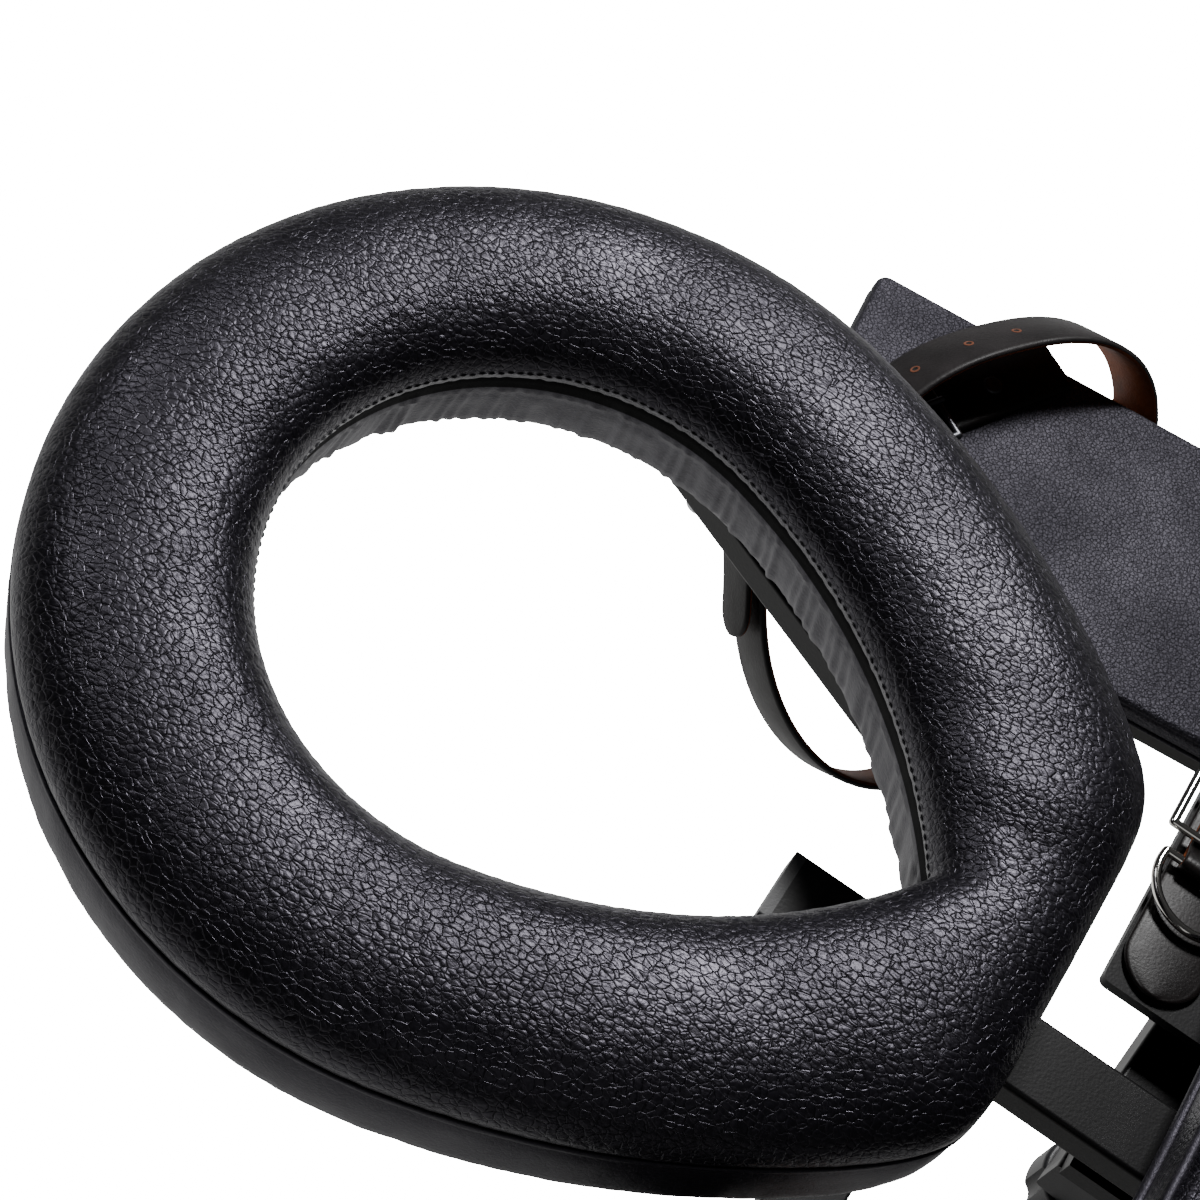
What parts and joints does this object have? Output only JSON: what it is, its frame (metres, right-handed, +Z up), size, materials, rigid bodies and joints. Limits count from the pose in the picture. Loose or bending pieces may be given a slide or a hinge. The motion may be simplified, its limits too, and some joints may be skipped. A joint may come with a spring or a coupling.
{
  "type": "padded bench with ring headrest",
  "caption": "Padded bench on a steel tube frame, with a sliding open ring headrest and two swivelling arm boards that carry buckled leather belts.",
  "frame": {"origin": "on the floor, under the middle of the bounding box", "axes": "+X from the ring headrest to the rear of the torso pad, +Y to the user's right, +Z up"},
  "size_m": [0.986, 0.6105, 0.626],
  "materials": {
    "coarse_leather": "coarse pebble grain, semi-gloss",
    "fine_leather": "fine grain, matte",
    "belt_leather": "smooth, tan inner face",
    "black_board": "stained plywood",
    "black_steel": "satin powder coat",
    "black_plastic": "moulded, satin",
    "chrome": "polished",
    "steel_screws": "zinc plated",
    "rubber": "matte"
  },
  "bodies": {
    "base": {"torso_pad": "coarse_leather", "torso_base_board": "black_board", "torso_screws": "steel_screws", "spine_tube": "black_steel", "spine_rear_plug": "black_plastic", "spine_bushings": "black_plastic", "clamp_boss": "black_steel", "front_post": "black_steel", "rear_post": "black_steel", "post_gussets": "black_steel", "lower_spine": "black_steel", "floor_tubes": "black_steel", "floor_tube_caps": "black_plastic", "rubber_feet": "rubber", "arm_pivot_bracket": "black_steel", "arm_pivot_studs": "steel_screws"},
    "headrest": {"headrest_tube": "black_steel", "headrest_tube_plugs": "black_plastic", "cradle_arm_right": "black_steel", "cradle_arm_left": "black_steel", "cradle_plugs": "black_plastic", "ring_base_board": "black_board", "ring_pad": "coarse_leather", "ring_screws": "steel_screws"},
    "clamp": {"clamp_screw": "steel_screws", "clamp_knob": "black_plastic"},
    "arm_right": {"arm_tube_right": "black_steel", "arm_tube_plugs_right": "black_plastic", "strap_plate_right": "black_steel", "cuff_strap_right": "belt_leather", "cuff_loop_right": "belt_leather", "cuff_slide_right": "chrome"},
    "d_ring_right": {"cuff_d_ring_right": "chrome"},
    "knob_right": {"arm_knob_right": "black_plastic"},
    "board_right": {"arm_board_pad_right": "fine_leather", "arm_board_base_right": "black_board", "arm_swivel_plate_right": "black_steel", "arm_swivel_pin_right": "steel_screws", "belt_strap_right": "belt_leather", "belt_loop_right": "belt_leather", "belt_rivet_right": "chrome", "buckle_frame_right": "chrome"},
    "prong_right": {"buckle_prong_right": "chrome"},
    "arm_left": {"arm_tube_left": "black_steel", "arm_tube_plugs_left": "black_plastic", "strap_plate_left": "black_steel", "cuff_strap_left": "belt_leather", "cuff_loop_left": "belt_leather", "cuff_slide_left": "chrome"},
    "d_ring_left": {"cuff_d_ring_left": "chrome"},
    "knob_left": {"arm_knob_left": "black_plastic"},
    "board_left": {"arm_board_pad_left": "fine_leather", "arm_board_base_left": "black_board", "arm_swivel_plate_left": "black_steel", "arm_swivel_pin_left": "steel_screws", "belt_strap_left": "belt_leather", "belt_loop_left": "belt_leather", "belt_rivet_left": "chrome", "buckle_frame_left": "chrome"},
    "prong_left": {"buckle_prong_left": "chrome"}
  },
  "joints": [
    {"name": "headrest_slide", "type": "slide", "parent": "base", "child": "headrest", "axis": [1, 0, 0], "range_m": [-0.09, 0.012]},
    {"name": "clamp_turn", "type": "hinge", "parent": "base", "child": "clamp", "pos_m": [0.118, 0, 0.508], "axis": [0, 0, 1], "continuous": true},
    {"name": "arm_swing_right", "type": "hinge", "parent": "base", "child": "arm_right", "pos_m": [-0.066, 0, 0.5087], "axis": [0, 0, 1], "range_deg": [-25, 0]},
    {"name": "board_swivel_right", "type": "hinge", "parent": "arm_right", "child": "board_right", "pos_m": [-0.04227, 0.22576, 0.522], "axis": [0, 0, 1], "range_deg": [-20, 0]},
    {"name": "knob_turn_right", "type": "hinge", "parent": "base", "child": "knob_right", "pos_m": [-0.066, 0, 0.489], "axis": [0, 0, 1], "continuous": true},
    {"name": "d_ring_lift_right", "type": "hinge", "parent": "arm_right", "child": "d_ring_right", "pos_m": [-0.086, 0.103, 0.544], "axis": [1, 0, 0], "range_deg": [-12, 0]},
    {"name": "prong_lift_right", "type": "hinge", "parent": "board_right", "child": "prong_right", "pos_m": [-0.27139, 0.19581, 0.54685], "axis": [-0.8788, 0.4772, 0], "range_deg": [-40, 0]},
    {"name": "arm_swing_left", "type": "hinge", "parent": "base", "child": "arm_left", "pos_m": [-0.004, 0, 0.5087], "axis": [0, 0, 1], "range_deg": [0, 12]},
    {"name": "board_swivel_left", "type": "hinge", "parent": "arm_left", "child": "board_left", "pos_m": [0.06237, -0.21708, 0.522], "axis": [0, 0, 1], "range_deg": [0, 20]},
    {"name": "knob_turn_left", "type": "hinge", "parent": "base", "child": "knob_left", "pos_m": [-0.004, 0, 0.489], "axis": [0, 0, 1], "continuous": true},
    {"name": "d_ring_lift_left", "type": "hinge", "parent": "arm_left", "child": "d_ring_left", "pos_m": [-0.00741, -0.08725, 0.544], "axis": [0.9816, 0.1908, 0], "range_deg": [0, 12]},
    {"name": "prong_lift_left", "type": "hinge", "parent": "board_left", "child": "prong_left", "pos_m": [-0.16444, -0.17292, 0.54685], "axis": [-0.9068, -0.4215, 0], "range_deg": [0, 40]}
  ]
}
